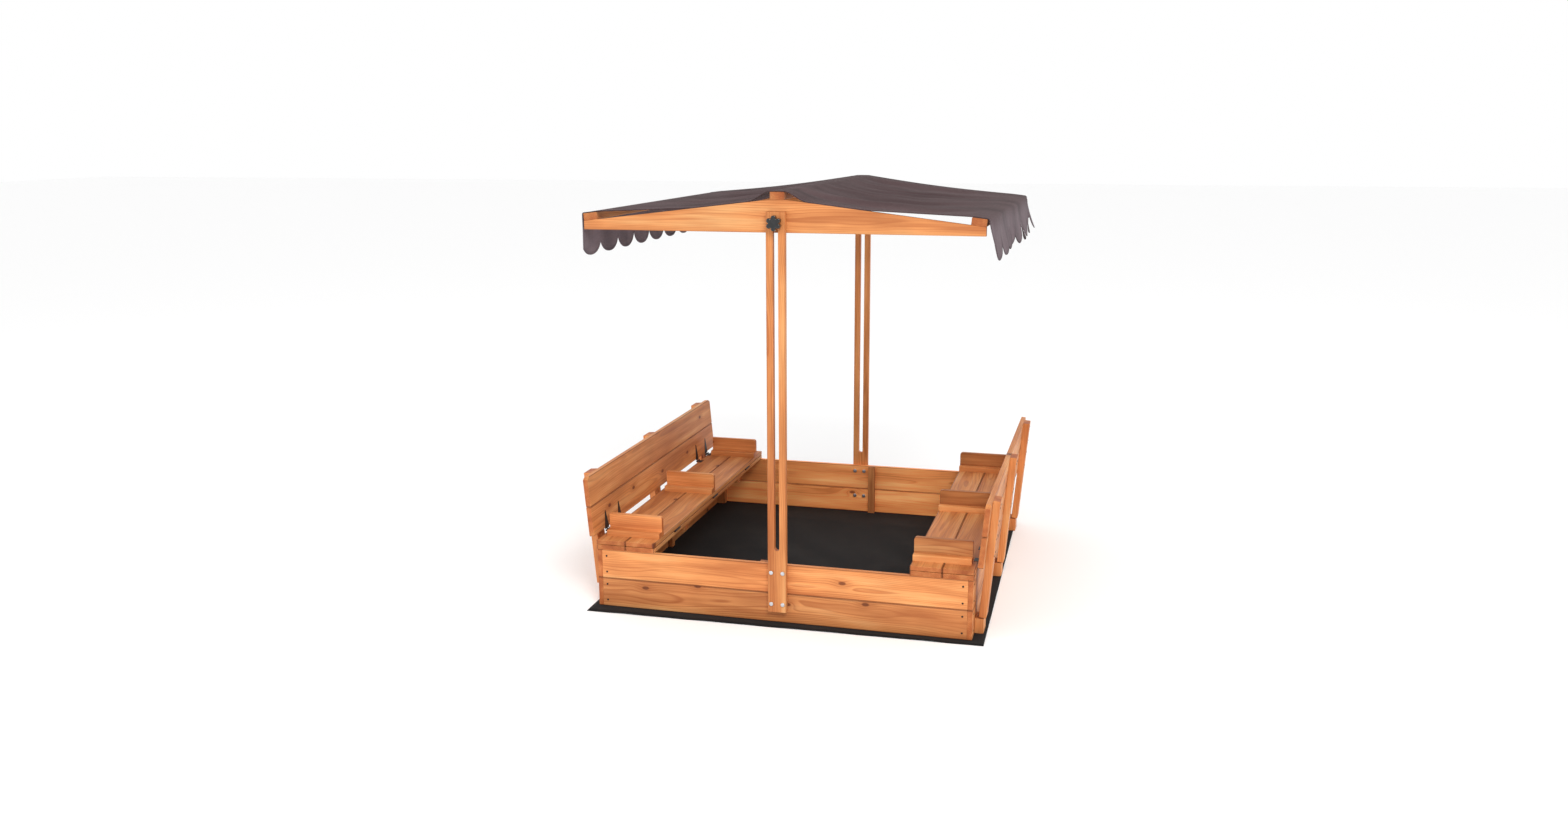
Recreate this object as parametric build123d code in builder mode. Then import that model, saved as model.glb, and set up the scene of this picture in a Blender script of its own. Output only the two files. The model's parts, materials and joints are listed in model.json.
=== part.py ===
"""Wooden sandbox with two fold-out benches that close into a cover, and a tilting canopy.

Millimetres. +X is to the right, +Y to the back and +Z up. The origin is the centre of the
underside of the ground liner. Pieces on the left are mirror images of those on the right.
"""

import os
from math import atan2, cos, radians, sin

from build123d import *

# ground liner and box
liner_thickness = 1.5
liner_margin = 28  # how far the liner shows past the walls
box_width = 1180
box_depth = 1222
wall_thickness = 15
wall_board = 92.5  # height of one wall board
wall_gap = 0.5
corner_post = 30
wall_cleat_width = 25
wall_cleat_offset = 50  # from the middle of the front or back wall
lid_cleat = (172, 30, 15)  # length, width and height
lid_cleat_place = 300  # from the middle, along the lid

# boards of the folding sides
board_width = 95
board_gap = 1.5
lid_thickness = 14
lid_half_length = 609
edge_round = 1.5

# lower hinges, between the fixed lid and the seat
lower_pin_x = 398.5
leaf_gap = 1.7  # between the top of the fixed lid and the seat
fold_clearance = 0.2  # between the folded seat and the wall tops
leaf_thickness = 0.7
knuckle_radius = 2.5
pin_radius = 1.2
pin_clearance = 0.06
knuckle_gap = 0.5
edge_gap = 2.8  # from a lower hinge pin to the edge of the boards
lower_hinge_places = (-400, 0, 400)
lower_hinge_width = 50
lower_leaf_length = 32
middle_knuckle = 20

# seat dividers
divider_places = (-528, 0, 528)
divider_size = (176, 14, 66)  # length, thickness and height
divider_corner = 9
divider_cleat = (25, 18)  # depth and height

# backrest and its hinges
back_pin_x = 597
back_pin_height = 3  # above the seat
back_pin_offset = 3  # from the pin to the inner face of the backrest
back_lean = 5  # degrees outwards from upright
back_rise = 7  # from the pin to the lower edge of the backrest
back_thickness = 16
back_corner = (16, 9)  # cut off each upper corner, along and down
strap_places = (-505, -395, 395, 505)
strap_width = 32
strap_tip_width = 5
strap_length = 62
strap_thickness = 0.8
strap_knuckle = 8
seat_leaf_length = 18  # short enough to pass behind the dividers

# battens behind the backrest, whose lower ends are its legs
batten_places = (-520, 0, 520)
batten_width = 58
batten_thickness = 22
leg_length = 167  # from the hinge pin down to the end of the leg
foot_block = (27, 58)  # thickness and width
foot_block_top = 48

# slotted posts
post_width = 57
post_thickness = 18
post_bottom = 40
post_top = 1245.6
slot_width = 16
slot_bottom = 235
slot_stop_gap = 0.4  # above the canopy bolt at its highest
bolt_columns = (-18, 18)
bolt_rows = (65, 165)
bolt_play = 0.2
bolt_tail = 9  # past the inner face of the wall
post_bolt_radius = 3
post_bolt_head = (6.5, 3.2)  # radius and height
nut_washer = (7, 1.5)
nut_radius = 5.8
nut_height = 5

# canopy frame
pivot_height = 1214.6
gable_half_length = 595.5
gable_thickness = 15
gable_bottom = 1185.3
gable_end_height = 25
gable_peak = 1279
rail_width = 43
rail_height = 22
canopy_bolt_radius = 4
canopy_bolt_head = (9, 4)
canopy_bolt_reach = 650  # from the middle of the box to the end of the bolt
slide_washer = (12, 1.8)
washer_play = 0.1  # on each face of a washer
washer_bore = 4.08

# knobs
knob_lobes = 6
knob_lobe_radius = 7
knob_lobe_circle = 15.5
knob_hub_radius = 15.5
knob_neck = (9, 6)  # radius and length
knob_thickness = 17
knob_bore_length = 20
knob_round = 3

# canopy fabric
fabric_thickness = 2.4
fabric_lift = 1.5  # from a rail to the middle of the cloth
fabric_sag = 12
valance_drop = 122
valance_flare = {-1: 3, 1: 30}  # outwards at the hem, on the left and on the right

# screw heads
screw_radius = 3
screw_height = 0.8
screw_step = 26  # up and down from the middle of a board
back_screw_step = 20  # each way from the middle of a batten

# worked out from the above
half_width = box_width / 2
half_depth = box_depth / 2
inner_face = half_depth - wall_thickness
end_wall_half = half_width - wall_thickness
wall_top = liner_thickness + 2 * wall_board + wall_gap
lid_top = wall_top + lid_thickness
seat_bottom = lid_top + leaf_gap
seat_top = seat_bottom + lid_thickness
lower_pin_z = (wall_top + fold_clearance + seat_top) / 2
board_edge = lower_pin_x + edge_gap
two_boards = 2 * board_width + board_gap
back_pin_z = seat_top + back_pin_height
back_top = back_rise + two_boards
post_face = half_depth + post_thickness
slot_top = pivot_height + canopy_bolt_radius + slot_stop_gap
roof_pitch = atan2(gable_peak - gable_bottom - gable_end_height, gable_half_length - rail_width / 2)

os.makedirs("parts", exist_ok=True)


def save(piece, name):
    """Write one finished piece to its own STEP file."""
    piece.label = name
    export_step(piece, f"parts/{name}.step")


def save_pair(piece, name):
    """Write a right-hand piece, and its mirror image for the left."""
    save(piece, f"right_{name}")
    save(mirror(piece, about=Plane.YZ), f"left_{name}")


def upright(y):
    """The plane across Y at y, with X and Z as its own axes. It extrudes to the front."""
    return Plane.XZ.offset(-y)


def both_ends(near, far):
    """Where to sketch, and how far to extrude, for the front and the back of the box."""
    return ((-near, far - near), (far, far - near))


def board(x, y, z):
    """A wooden board from low to high along each axis, with its edges eased."""
    with BuildPart() as piece:
        with BuildSketch(Plane(origin=(sum(x) / 2, sum(y) / 2, z[0]))):
            Rectangle(x[1] - x[0], y[1] - y[0])
        extrude(amount=z[1] - z[0])
        fillet(piece.edges(), radius=edge_round)
    return piece.part


# --- box -----------------------------------------------------------------------------------

with BuildPart() as ground_liner:
    with BuildSketch():
        Rectangle(box_width + 2 * liner_margin, box_depth + 2 * liner_margin)
    extrude(amount=liner_thickness)
save(ground_liner.part, "ground_liner")

wall_levels = {
    "lower": (liner_thickness, liner_thickness + wall_board),
    "upper": (wall_top - wall_board, wall_top),
}
post_bolt_places = [(x, z) for x in bolt_columns for z in bolt_rows]

for level, z in wall_levels.items():
    for end, (y, length) in zip(("front", "back"), both_ends(inner_face, half_depth)):
        with BuildPart() as end_board:
            add(board((-end_wall_half, end_wall_half), (y - length, y), z))
            with BuildSketch(upright(y)):
                with Locations(*[spot for spot in post_bolt_places if z[0] < spot[1] < z[1]]):
                    Circle(post_bolt_radius + bolt_play)
            extrude(amount=length, mode=Mode.SUBTRACT)
        save(end_board.part, f"{end}_wall_{level}_board")
    side_board = board((end_wall_half, half_width), (-half_depth, half_depth), z)
    save_pair(side_board, f"wall_{level}_board")

with BuildPart() as corner_posts:
    with BuildSketch(Plane.XY.offset(liner_thickness)):
        with GridLocations(2 * end_wall_half - corner_post, 2 * inner_face - corner_post, 2, 2):
            Rectangle(corner_post, corner_post)
    extrude(amount=wall_top - liner_thickness)
save(corner_posts.part, "corner_posts")

with BuildPart() as wall_cleats:
    cleat_y = inner_face - wall_thickness / 2
    with BuildSketch(Plane.XY.offset(liner_thickness)):
        with Locations((-wall_cleat_offset, -cleat_y), (wall_cleat_offset, cleat_y)):
            Rectangle(wall_cleat_width, wall_thickness)
        with GridLocations(2 * end_wall_half - wall_thickness, 1, 2, 1):
            Rectangle(wall_thickness, wall_cleat_width)
    extrude(amount=wall_top - liner_thickness)
save(wall_cleats.part, "wall_cleats")

# two screws in each end of each wall board, on the front, the back and the sides
board_middles = [sum(z) / 2 for z in wall_levels.values()]
screw_levels = [middle + step for middle in board_middles for step in (-screw_step, screw_step)]
end_screws = [(side * (end_wall_half - wall_thickness), z) for side in (-1, 1) for z in screw_levels]
side_screws = [(side * (half_depth - corner_post), z) for side in (-1, 1) for z in screw_levels]

with BuildPart() as wall_screws:
    for y, length in both_ends(half_depth, half_depth + screw_height):
        with BuildSketch(upright(y)):
            with Locations(*end_screws):
                Circle(screw_radius)
        extrude(amount=length)
    for x in (-half_width - screw_height, half_width):
        with BuildSketch(Plane.YZ.offset(x)):
            with Locations(*side_screws):
                Circle(screw_radius)
        extrude(amount=screw_height)
save(wall_screws.part, "wall_screws")

with BuildPart() as foot_blocks:
    with BuildSketch(Plane.XY.offset(liner_thickness)):
        with Locations(*[(half_width + foot_block[0] / 2, y) for y in batten_places]):
            Rectangle(*foot_block)
    extrude(amount=foot_block_top - liner_thickness)
    fillet(foot_blocks.edges().filter_by(Axis.Z), radius=edge_round)
save_pair(foot_blocks.part, "foot_blocks")

# --- slotted posts and their bolts -----------------------------------------------------------

for end, (y, length) in zip(("front", "back"), both_ends(half_depth, post_face)):
    with BuildPart() as post:
        with BuildSketch(upright(y)):
            with Locations((0, (post_bottom + post_top) / 2)):
                Rectangle(post_width, post_top - post_bottom)
            with Locations((0, (slot_bottom + slot_top) / 2)):
                SlotOverall(slot_top - slot_bottom, slot_width, rotation=90, mode=Mode.SUBTRACT)
            with Locations(*post_bolt_places):
                Circle(post_bolt_radius + bolt_play, mode=Mode.SUBTRACT)
        extrude(amount=length)
        long_corners = post.edges().filter_by(Axis.Z).group_by(SortBy.LENGTH)[-1]
        fillet(long_corners, radius=edge_round)
    save(post.part, f"{end}_post")

with BuildPart() as post_bolts:
    for y, length in both_ends(inner_face - bolt_tail, post_face):
        with BuildSketch(upright(y)):
            with Locations(*post_bolt_places):
                Circle(post_bolt_radius)
        extrude(amount=length)
    for y, length in both_ends(post_face, post_face + post_bolt_head[1]):
        with BuildSketch(upright(y)):
            with Locations(*post_bolt_places):
                Circle(post_bolt_head[0])
        extrude(amount=length)
    rims = post_bolts.edges().filter_by(GeomType.CIRCLE).group_by(Axis.Y)
    fillet(rims[0] + rims[-1], radius=post_bolt_head[1] * 0.7)
save(post_bolts.part, "post_bolts")

with BuildPart() as post_washers:
    for y, length in both_ends(inner_face - nut_washer[1], inner_face):
        with BuildSketch(upright(y)):
            with Locations(*post_bolt_places):
                Circle(nut_washer[0])
                Circle(post_bolt_radius + bolt_play, mode=Mode.SUBTRACT)
        extrude(amount=length)
save(post_washers.part, "post_washers")

with BuildPart() as post_nuts:
    nut_seat = inner_face - nut_washer[1]
    for y, length in both_ends(nut_seat - nut_height, nut_seat):
        with BuildSketch(upright(y)):
            with Locations(*post_bolt_places):
                RegularPolygon(nut_radius, 6)
                Circle(post_bolt_radius, mode=Mode.SUBTRACT)
        extrude(amount=length)
save(post_nuts.part, "post_nuts")

# --- fixed lid and seat ----------------------------------------------------------------------

lid_y = (-lid_half_length, lid_half_length)
board_spans = {
    "inner": (board_edge, board_edge + board_width),
    "outer": (board_edge + two_boards - board_width, board_edge + two_boards),
}
for place, x in board_spans.items():
    save_pair(board(x, lid_y, (wall_top, lid_top)), f"lid_{place}_board")
    save_pair(board(x, lid_y, (seat_bottom, seat_top)), f"seat_{place}_board")

with BuildPart() as lid_cleats:
    cleat_middle = end_wall_half - lid_cleat[0] / 2
    with BuildSketch(Plane.XY.offset(wall_top - lid_cleat[2])):
        with GridLocations(2 * cleat_middle, 2 * lid_cleat_place, 2, 2):
            Rectangle(lid_cleat[0], lid_cleat[1])
    extrude(amount=lid_cleat[2])
save(lid_cleats.part, "lid_cleats")

divider_middle = board_edge + divider_size[0] / 2
with BuildPart() as dividers:
    for place in divider_places:
        with BuildSketch(upright(place + divider_size[1] / 2)) as outline:
            with Locations((divider_middle, seat_top + divider_size[2] / 2)):
                Rectangle(divider_size[0], divider_size[2])
            top_corners = outline.vertices().group_by(Axis.Y)[-1].sort_by(Axis.X)
            fillet(top_corners[0], radius=divider_corner)
            fillet(top_corners[-1], radius=edge_round)
        extrude(amount=divider_size[1])
save_pair(dividers.part, "seat_dividers")

with BuildPart() as divider_cleats:
    for place in divider_places:
        front_of_divider = place - divider_size[1] / 2
        with BuildSketch(Plane(origin=(divider_middle, front_of_divider - divider_cleat[0] / 2, seat_top))):
            Rectangle(divider_size[0], divider_cleat[0])
        extrude(amount=divider_cleat[1])
    top_edges = divider_cleats.faces().filter_by(Axis.Z).group_by(Axis.Z)[-1].edges()
    fillet(top_edges.filter_by(Axis.X), radius=edge_round)
save_pair(divider_cleats.part, "divider_cleats")

# --- lower hinges ----------------------------------------------------------------------------


def lower_leaves(level, knuckles):
    """A leaf at each lower hinge: a plate standing on level, and knuckles that cover the given
    lengths of the pin."""
    plate_start = knuckle_radius + knuckle_gap
    root = (pin_radius + knuckle_radius) / 2
    with BuildPart() as leaves:
        for place in lower_hinge_places:
            with BuildSketch(Plane(origin=(lower_pin_x, place, level))):
                with Locations(((plate_start + lower_leaf_length) / 2, 0)):
                    Rectangle(lower_leaf_length - plate_start, lower_hinge_width)
                for start, end in knuckles:
                    with Locations(((root + plate_start) / 2, (start + end) / 2)):
                        Rectangle(plate_start - root, end - start)
            extrude(amount=leaf_thickness)
            for start, end in knuckles:
                with BuildSketch(upright(place + end)):
                    with Locations((lower_pin_x, lower_pin_z)):
                        Circle(knuckle_radius)
                extrude(amount=end - start)
            with BuildSketch(upright(place + lower_hinge_width / 2)):
                with Locations((lower_pin_x, lower_pin_z)):
                    Circle(pin_radius + pin_clearance)
            extrude(amount=lower_hinge_width, mode=Mode.SUBTRACT)
    return leaves.part


half_hinge = lower_hinge_width / 2
half_middle = middle_knuckle / 2
outer_knuckles = ((-half_hinge, -half_middle - knuckle_gap), (half_middle + knuckle_gap, half_hinge))
save_pair(lower_leaves(lid_top, outer_knuckles), "lid_hinge_leaves")
save_pair(lower_leaves(seat_bottom - leaf_thickness, ((-half_middle, half_middle),)), "seat_hinge_leaves")

with BuildPart() as lower_hinge_pins:
    for place in lower_hinge_places:
        with BuildSketch(upright(place + half_hinge)):
            with Locations((-lower_pin_x, lower_pin_z), (lower_pin_x, lower_pin_z)):
                Circle(pin_radius)
        extrude(amount=lower_hinge_width)
save(lower_hinge_pins.part, "lower_hinge_pins")

# --- backrest --------------------------------------------------------------------------------

lean = radians(back_lean)
outward = Vector(cos(lean), 0, -sin(lean))
pin_point = Vector(back_pin_x, 0, back_pin_z)
# the backrest's inner face, with Y and the way up the boards as its axes
inner_plane = Plane(origin=pin_point + outward * back_pin_offset, x_dir=(0, 1, 0), z_dir=outward)
outer_plane = inner_plane.offset(back_thickness)

with BuildPart() as back_lower_board:
    with BuildSketch(inner_plane):
        with Locations((0, back_rise + board_width / 2)):
            Rectangle(2 * lid_half_length, board_width)
    extrude(amount=back_thickness)
    fillet(back_lower_board.edges(), radius=edge_round)
save_pair(back_lower_board.part, "backrest_lower_board")

upper_start = back_top - board_width
with BuildPart() as back_upper_board:
    with BuildSketch(inner_plane):
        with BuildLine():
            Polyline(
                (-lid_half_length, upper_start),
                (lid_half_length, upper_start),
                (lid_half_length, back_top - back_corner[1]),
                (lid_half_length - back_corner[0], back_top),
                (back_corner[0] - lid_half_length, back_top),
                (-lid_half_length, back_top - back_corner[1]),
                close=True,
            )
        make_face()
    extrude(amount=back_thickness)
    fillet(back_upper_board.edges(), radius=edge_round)
save_pair(back_upper_board.part, "backrest_upper_board")

with BuildPart() as battens:
    with BuildSketch(outer_plane):
        with Locations(*[(y, (back_top - leg_length) / 2) for y in batten_places]):
            Rectangle(batten_width, back_top + leg_length)
    extrude(amount=batten_thickness)
    fillet(battens.edges(), radius=edge_round)
save_pair(battens.part, "backrest_battens")

board_screws = [
    (place + side * back_screw_step, back_rise + middle + step)
    for place in batten_places
    for side in (-1, 1)
    for middle in (board_width / 2, two_boards - board_width / 2)
    for step in (-screw_step, screw_step)
]
with BuildPart() as back_screws:
    with BuildSketch(outer_plane.offset(batten_thickness)):
        with Locations(*board_screws):
            Circle(screw_radius)
    extrude(amount=screw_height)
save_pair(back_screws.part, "backrest_screws")

# --- strap hinges between the seat and the backrest ------------------------------------------

seat_knuckles = (
    (-strap_width / 2, -strap_knuckle / 2 - knuckle_gap),
    (strap_knuckle / 2 + knuckle_gap, strap_width / 2),
)
with BuildPart() as strap_seat_leaves:
    for place in strap_places:
        with BuildSketch(Plane(origin=(back_pin_x, place, seat_top))):
            with Locations((-(seat_leaf_length + knuckle_radius + knuckle_gap) / 2, 0)):
                Rectangle(seat_leaf_length - knuckle_radius - knuckle_gap, strap_width)
            for start, end in seat_knuckles:
                with Locations((-(knuckle_radius + knuckle_gap) / 2, (start + end) / 2)):
                    Rectangle(knuckle_radius + knuckle_gap, end - start)
        extrude(amount=strap_thickness)
        for start, end in seat_knuckles:
            with BuildSketch(upright(place + end)):
                with Locations((back_pin_x, back_pin_z)):
                    Circle(knuckle_radius)
            extrude(amount=end - start)
        with BuildSketch(upright(place + strap_width / 2)):
            with Locations((back_pin_x, back_pin_z)):
                Circle(pin_radius)
        extrude(amount=strap_width)
save_pair(strap_seat_leaves.part, "back_hinge_seat_leaves")

strap_start = knuckle_radius + 2 * knuckle_gap
with BuildPart() as back_straps:
    for place in strap_places:
        with BuildSketch(inner_plane.offset(-strap_thickness)):
            with BuildLine():
                Polyline(
                    (place - strap_knuckle / 2, 0),
                    (place + strap_knuckle / 2, 0),
                    (place + strap_knuckle / 2, strap_start),
                    (place + strap_width / 2, strap_start),
                    (place + strap_tip_width / 2, strap_length),
                    (place - strap_tip_width / 2, strap_length),
                    (place - strap_width / 2, strap_start),
                    (place - strap_knuckle / 2, strap_start),
                    close=True,
                )
            make_face()
        extrude(amount=strap_thickness)
        with BuildSketch(upright(place + strap_knuckle / 2)):
            with Locations((back_pin_x, back_pin_z)):
                Circle(knuckle_radius)
        extrude(amount=strap_knuckle)
        with BuildSketch(upright(place + strap_knuckle / 2)):
            with Locations((back_pin_x, back_pin_z)):
                Circle(pin_radius + pin_clearance)
        extrude(amount=strap_knuckle, mode=Mode.SUBTRACT)
save_pair(back_straps.part, "back_hinge_straps")

# --- canopy frame ----------------------------------------------------------------------------

gable_face = lid_half_length
for end, (y, length) in zip(("front", "back"), both_ends(gable_face - gable_thickness, gable_face)):
    with BuildPart() as gable:
        with BuildSketch(upright(y)):
            with BuildLine():
                Polyline(
                    (-gable_half_length, gable_bottom),
                    (gable_half_length, gable_bottom),
                    (gable_half_length, gable_bottom + gable_end_height),
                    (rail_width / 2, gable_peak),
                    (-rail_width / 2, gable_peak),
                    (-gable_half_length, gable_bottom + gable_end_height),
                    close=True,
                )
            make_face()
            with Locations((0, pivot_height)):
                Circle(canopy_bolt_radius + bolt_play, mode=Mode.SUBTRACT)
        extrude(amount=length)
    save(gable.part, f"{end}_gable")

with BuildPart() as ridge_rail:
    with BuildSketch(upright(gable_face)):
        with Locations((0, gable_peak + rail_height / 2)):
            Rectangle(rail_width, rail_height)
    extrude(amount=2 * gable_face)
    fillet(ridge_rail.edges(), radius=edge_round)
save(ridge_rail.part, "ridge_rail")

# an eave rail lies on the slope of the gables; its plane runs up the slope and square to it
eave_point = Vector(gable_half_length, -gable_face, gable_bottom + gable_end_height)
up_slope = Vector(-cos(roof_pitch), 0, sin(roof_pitch))
off_slope = Vector(sin(roof_pitch), 0, cos(roof_pitch))
with BuildPart() as eave_rail:
    with BuildSketch(Plane(origin=eave_point, x_dir=up_slope, z_dir=(0, 1, 0))):
        Rectangle(rail_width, rail_height, align=(Align.MIN, Align.MIN))
    extrude(amount=2 * gable_face)
    fillet(eave_rail.edges(), radius=edge_round)
save_pair(eave_rail.part, "eave_rail")

# bolts from the inner faces of the gables out through the posts' slots into the knobs
with BuildPart() as canopy_bolts:
    head_face = gable_face - gable_thickness
    for y, length in both_ends(head_face, canopy_bolt_reach):
        with BuildSketch(upright(y)):
            with Locations((0, pivot_height)):
                Circle(canopy_bolt_radius)
        extrude(amount=length)
    for y, length in both_ends(head_face - canopy_bolt_head[1], head_face):
        with BuildSketch(upright(y)):
            with Locations((0, pivot_height)):
                Circle(canopy_bolt_head[0])
        extrude(amount=length)
    rims = canopy_bolts.edges().filter_by(GeomType.CIRCLE)
    head_rims = rims.filter_by(lambda e: e.radius == canopy_bolt_head[0])
    inner_rims = head_rims.filter_by(lambda e: abs(e.center().Y) < head_face - canopy_bolt_head[1] / 2)
    fillet(inner_rims, radius=canopy_bolt_head[1] * 0.7)
save(canopy_bolts.part, "canopy_bolts")

# a washer on each side of each post
with BuildPart() as slide_washers:
    for face in (gable_face + washer_play, post_face + washer_play):
        for y, length in both_ends(face, face + slide_washer[1]):
            with BuildSketch(upright(y)):
                with Locations((0, pivot_height)):
                    Circle(slide_washer[0])
                    Circle(washer_bore, mode=Mode.SUBTRACT)
            extrude(amount=length)
save(slide_washers.part, "slide_washers")

knob_start = post_face + slide_washer[1] + 3 * washer_play
with BuildPart() as knob:
    with BuildSketch(upright(-knob_start)):
        with Locations((0, pivot_height)):
            Circle(knob_neck[0])
    extrude(amount=knob_neck[1])
    with BuildSketch(upright(-knob_start - knob_neck[1])):
        with Locations((0, pivot_height)):
            Circle(knob_hub_radius)
            with PolarLocations(knob_lobe_circle, knob_lobes, start_angle=90):
                Circle(knob_lobe_radius)
    extrude(amount=knob_thickness)
    fillet(knob.faces().sort_by(Axis.Y)[0].edges(), radius=knob_round)
    with BuildSketch(upright(-knob_start)):
        with Locations((0, pivot_height)):
            Circle(washer_bore)
    extrude(amount=knob_bore_length, mode=Mode.SUBTRACT)
save(knob.part, "front_knob")
save(mirror(knob.part, about=Plane.XZ), "back_knob")

# --- canopy fabric ---------------------------------------------------------------------------


def eave_spot(side, along, above):
    """A point beside an eave rail, from its lower outer corner up and off the slope, in X and Z."""
    spot = eave_point + up_slope * along + off_slope * above
    return (side * spot.X, spot.Z)


fabric_level = rail_height + fabric_lift
ridge_level = gable_peak + fabric_level
with BuildPart() as canopy_fabric:
    with BuildSketch(upright(gable_face)):
        with BuildLine() as cloth:
            Line((-rail_width / 2, ridge_level), (rail_width / 2, ridge_level))
            for side in (-1, 1):
                ridge_edge = (side * rail_width / 2, ridge_level)
                inner = eave_spot(side, rail_width, fabric_level)
                outer = eave_spot(side, -fabric_lift, fabric_level)
                middle = ((ridge_edge[0] + inner[0]) / 2, (ridge_edge[1] + inner[1]) / 2 - fabric_sag)
                ThreePointArc(ridge_edge, middle, inner)
                Line(inner, outer)
                Line(outer, (outer[0] + side * valance_flare[side], outer[1] - valance_drop))
        trace(line_width=fabric_thickness)
    extrude(amount=2 * gable_face)
save(canopy_fabric.part, "canopy_fabric")
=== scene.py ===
"""Looks of the sandbox with cover: stained fir boards, black hinges and knobs, bright bolts, a
woven canopy with scalloped valances, and a black ground liner. Metres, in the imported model's
own frame: +X to the right bench, +Y to the back post, +Z up. A side is -1 on the left and 1 on
the right.
"""

import json
from math import atan2, cos, pi, radians, sin

import bpy
import numpy as np
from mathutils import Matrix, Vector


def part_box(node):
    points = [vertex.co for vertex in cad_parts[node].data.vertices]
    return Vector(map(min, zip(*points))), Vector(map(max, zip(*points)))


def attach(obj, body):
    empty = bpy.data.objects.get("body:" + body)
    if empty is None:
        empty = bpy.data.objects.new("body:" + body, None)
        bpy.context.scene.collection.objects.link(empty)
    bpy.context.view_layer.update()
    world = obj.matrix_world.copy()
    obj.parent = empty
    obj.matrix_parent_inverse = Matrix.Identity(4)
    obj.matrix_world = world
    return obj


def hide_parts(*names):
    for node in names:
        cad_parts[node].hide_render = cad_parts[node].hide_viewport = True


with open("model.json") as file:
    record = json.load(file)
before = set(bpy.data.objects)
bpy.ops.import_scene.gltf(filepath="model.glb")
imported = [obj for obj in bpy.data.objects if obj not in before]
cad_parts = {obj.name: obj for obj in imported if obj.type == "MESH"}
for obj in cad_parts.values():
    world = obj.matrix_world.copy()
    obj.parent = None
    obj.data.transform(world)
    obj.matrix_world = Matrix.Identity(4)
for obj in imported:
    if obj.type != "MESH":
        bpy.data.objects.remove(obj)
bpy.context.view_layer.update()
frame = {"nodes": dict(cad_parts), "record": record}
nodes = frame["nodes"]


# --- small helpers for materials ---------------------------------------------------------------


class Graph:
    """A material's node tree, with short calls for the nodes that repeat. A value is a number,
    a tuple or another node's output."""

    def __init__(self, name):
        self.material = bpy.data.materials.new(name)
        self.material.use_nodes = True
        self.tree = self.material.node_tree
        self.shader = self.tree.nodes["Principled BSDF"]

    def set(self, socket, value):
        if isinstance(value, bpy.types.NodeSocket):
            self.tree.links.new(value, socket)
        else:
            socket.default_value = value

    def put(self, kind, **inputs):
        node = self.tree.nodes.new(kind)
        for key, value in inputs.items():
            self.set(node.inputs[key], value)
        return node

    def surface(self, settings):
        """Set or link inputs of the material's shader."""
        for key, value in settings.items():
            self.set(self.shader.inputs[key], value)

    def math(self, operation, a, b=None):
        node = self.tree.nodes.new("ShaderNodeMath")
        node.operation = operation
        self.set(node.inputs[0], a)
        if b is not None:
            self.set(node.inputs[1], b)
        return node.outputs[0]

    def add(self, a, b):
        return self.math("ADD", a, b)

    def times(self, a, b):
        return self.math("MULTIPLY", a, b)

    def absolute(self, value):
        return self.math("ABSOLUTE", value)

    def wave(self, value, length):
        """A sine of the value, with the given wave length."""
        return self.math("SINE", self.times(value, 2 * pi / length))

    def vector(self, x, y, z=0.0):
        return self.put("ShaderNodeCombineXYZ", X=x, Y=y, Z=z).outputs[0]

    def scaled(self, values, scales):
        return [self.times(value, scale) for value, scale in zip(values, scales)]

    def noise(self, vector, scale, detail=2.0, roughness=0.5):
        settings = {"Vector": vector, "Scale": scale, "Detail": detail, "Roughness": roughness}
        return self.put("ShaderNodeTexNoise", **settings).outputs["Fac"]

    def object_noise(self, scale, detail=3.0, roughness=0.55):
        coordinates = self.put("ShaderNodeTexCoord").outputs["Object"]
        return self.noise(coordinates, scale, detail, roughness)

    def attribute(self, name):
        """A number stored at each point of the mesh."""
        node = self.put("ShaderNodeAttribute")
        node.attribute_name = name
        return node.outputs["Fac"]

    def remap(self, value, low, high, new_low=0.0, new_high=1.0):
        node = self.put("ShaderNodeMapRange", Value=value)
        self.set(node.inputs["From Min"], low)
        self.set(node.inputs["From Max"], high)
        self.set(node.inputs["To Min"], new_low)
        self.set(node.inputs["To Max"], new_high)
        return node.outputs[0]

    def mix(self, factor, a, b, blend="MIX"):
        node = self.tree.nodes.new("ShaderNodeMix")
        node.data_type = "RGBA"
        node.blend_type = blend
        for socket, value in zip((node.inputs[0], node.inputs[6], node.inputs[7]), (factor, a, b)):
            self.set(socket, value)
        return node.outputs[2]

    def shaded(self, color, shade):
        """A colour made lighter or darker by a number."""
        return self.mix(1.0, color, self.vector(shade, shade, shade), "MULTIPLY")

    def ramp(self, value, stops):
        """A smooth curve through (place, brightness) pairs."""
        node = self.put("ShaderNodeValToRGB", Fac=value)
        curve = node.color_ramp
        curve.interpolation = "EASE"
        while len(curve.elements) < len(stops):
            curve.elements.new(0.5)
        for element, (place, level) in zip(curve.elements, stops):
            element.position = place
            element.color = (level, level, level, 1)
        return node.outputs[0]

    def bump(self, height, strength, distance):
        node = self.put("ShaderNodeBump", Height=height, Strength=strength, Distance=distance)
        self.set(self.shader.inputs["Normal"], node.outputs[0])


def linear_channel(c):
    """One channel on the 0 to 255 screen scale, as a linear number."""
    return c / 255 / 12.92 if c <= 10 else ((c / 255 + 0.055) / 1.055) ** 2.4


def linear(r, g, b):
    return (linear_channel(r), linear_channel(g), linear_channel(b), 1.0)


# --- stained fir -------------------------------------------------------------------------------

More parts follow.
